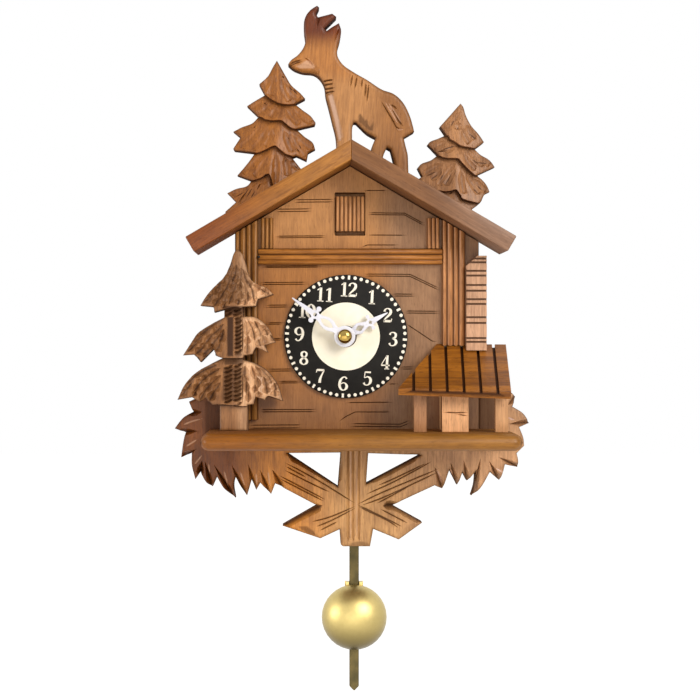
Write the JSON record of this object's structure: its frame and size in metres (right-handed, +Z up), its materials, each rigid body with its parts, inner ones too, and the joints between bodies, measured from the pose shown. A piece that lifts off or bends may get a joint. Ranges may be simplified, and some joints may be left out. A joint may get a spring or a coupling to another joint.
{
  "type": "pendulum wall clock",
  "caption": "Miniature chalet wall clock: carved wooden house with leaf board, roof carvings, black dial, quartz movement and a short swinging pendulum.",
  "frame": {"origin": "on the wall plane at the back of the case, straight below the roof ridge, at the height of the hand arbor", "axes": "+X to the right seen from the front, +Y back into the wall, +Z up"},
  "size_m": [0.0924, 0.065, 0.1847],
  "materials": {
    "front_wood": "satin lacquered hardwood, vertical grain",
    "roof_wood": "satin lacquered hardwood, red brown stain",
    "trim_wood": "satin lacquered hardwood, light stain",
    "carved_wood": "carved and stained hardwood, satin",
    "case_wood": "thin boards, stained, open grain",
    "dial_face": "matt black print with cream centre",
    "hand_plastic": "white moulded plastic",
    "movement_plastic": "moulded, fine texture",
    "knob_plastic": "moulded",
    "brass": "satin brushed",
    "steel": "plated",
    "copper": "enamelled copper wire",
    "circuit": "solder mask",
    "cell": "plain sleeve, bare steel ends"
  },
  "bodies": {
    "clock_case": {"case_wall_left": "case_wood", "case_wall_right": "case_wood", "case_floor": "case_wood", "roof_panel_left": "case_wood", "roof_panel_right": "case_wood", "back_cover": "case_wood", "house_wall": "front_wood", "gable_door": "roof_wood", "barge_board_left": "roof_wood", "barge_board_right": "roof_wood", "porch_roof": "roof_wood", "porch_post_left": "trim_wood", "porch_post_right": "trim_wood", "annex_block": "trim_wood", "corner_post_left": "trim_wood", "corner_post_right": "trim_wood", "gable_strip_left": "trim_wood", "gable_strip_right": "trim_wood", "cross_beam": "roof_wood", "log_block": "trim_wood", "shelf_board": "roof_wood", "leaf_board": "carved_wood", "roof_tree_left": "carved_wood", "roof_tree_right": "carved_wood", "chamois": "carved_wood", "yard_tree": "carved_wood", "dial": "dial_face", "movement_plate": "movement_plastic", "movement_shell": "movement_plastic", "pivot_cap": "steel", "movement_screw_left": "steel", "movement_screw_right": "steel", "circuit_board": "circuit", "motor_coil": "copper", "pendulum_coil": "copper", "battery_cell": "cell", "contact_minus": "steel", "contact_plus": "steel", "brad_lower_left": "steel", "brad_upper_left": "steel", "brad_lower_right": "steel", "brad_upper_right": "steel"},
    "minute_set": {"minute_arbor": "brass", "minute_hand": "hand_plastic", "hand_nut": "brass"},
    "hour_set": {"hour_wheel": "brass", "hour_hand": "hand_plastic"},
    "setting_set": {"minute_wheel": "brass", "setting_knob": "knob_plastic"},
    "pendulum": {"pendulum_hanger": "knob_plastic", "pendulum_rod": "brass"},
    "bob": {"bob_shell": "brass", "bob_clip": "brass"}
  },
  "joints": [
    {"name": "minute_turn", "type": "hinge", "parent": "clock_case", "child": "minute_set", "pos_m": [-0.0015, -0.04, 0], "axis": [0, 1, 0], "continuous": true},
    {"name": "hour_turn", "type": "hinge", "parent": "clock_case", "child": "hour_set", "pos_m": [-0.0015, -0.04, 0], "axis": [0, 1, 0], "continuous": true},
    {"name": "setting_turn", "type": "hinge", "parent": "clock_case", "child": "setting_set", "pos_m": [-0.0095, -0.025, 0], "axis": [0, 1, 0], "continuous": true},
    {"name": "pendulum_swing", "type": "hinge", "parent": "clock_case", "child": "pendulum", "pos_m": [0.00195, -0.0165, 0.02], "axis": [0, 1, 0], "range_deg": [-8, 8]},
    {"name": "bob_slide", "type": "slide", "parent": "pendulum", "child": "bob", "axis": [0, 0, 1], "range_m": [-0.006, 0.008]}
  ],
  "couplings": [
    {"joint": "hour_turn", "follows": "minute_turn", "ratio": 0.083333},
    {"joint": "setting_turn", "follows": "minute_turn", "ratio": -0.33333}
  ]
}
